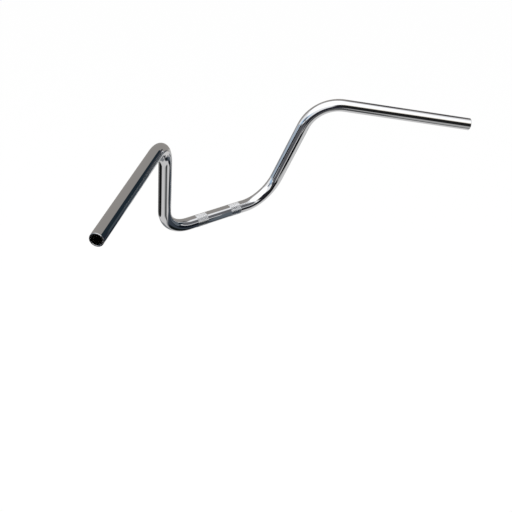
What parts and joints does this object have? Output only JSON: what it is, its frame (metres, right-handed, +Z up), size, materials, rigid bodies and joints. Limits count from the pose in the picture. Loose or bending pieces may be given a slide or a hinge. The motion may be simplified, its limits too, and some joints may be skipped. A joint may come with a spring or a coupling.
{
  "type": "ape hanger handlebar",
  "caption": "One-piece chromed steel tube handlebar: straight clamp section, tall uprights leaning back and out, long grip sections swept back and down, open ends.",
  "frame": {"origin": "centre of the clamp section, on the line of the tube", "axes": "+X along the clamp section to the rider's right, +Y towards the front of the motorcycle, +Z up, with the bar turned in its risers as in the reference picture"},
  "size_m": [0.9536, 0.2995, 0.2413],
  "materials": {
    "chrome_plate": "polished bright chrome plate on steel tube"
  },
  "bodies": {
    "root": {"handlebar": "chrome_plate"}
  },
  "joints": []
}
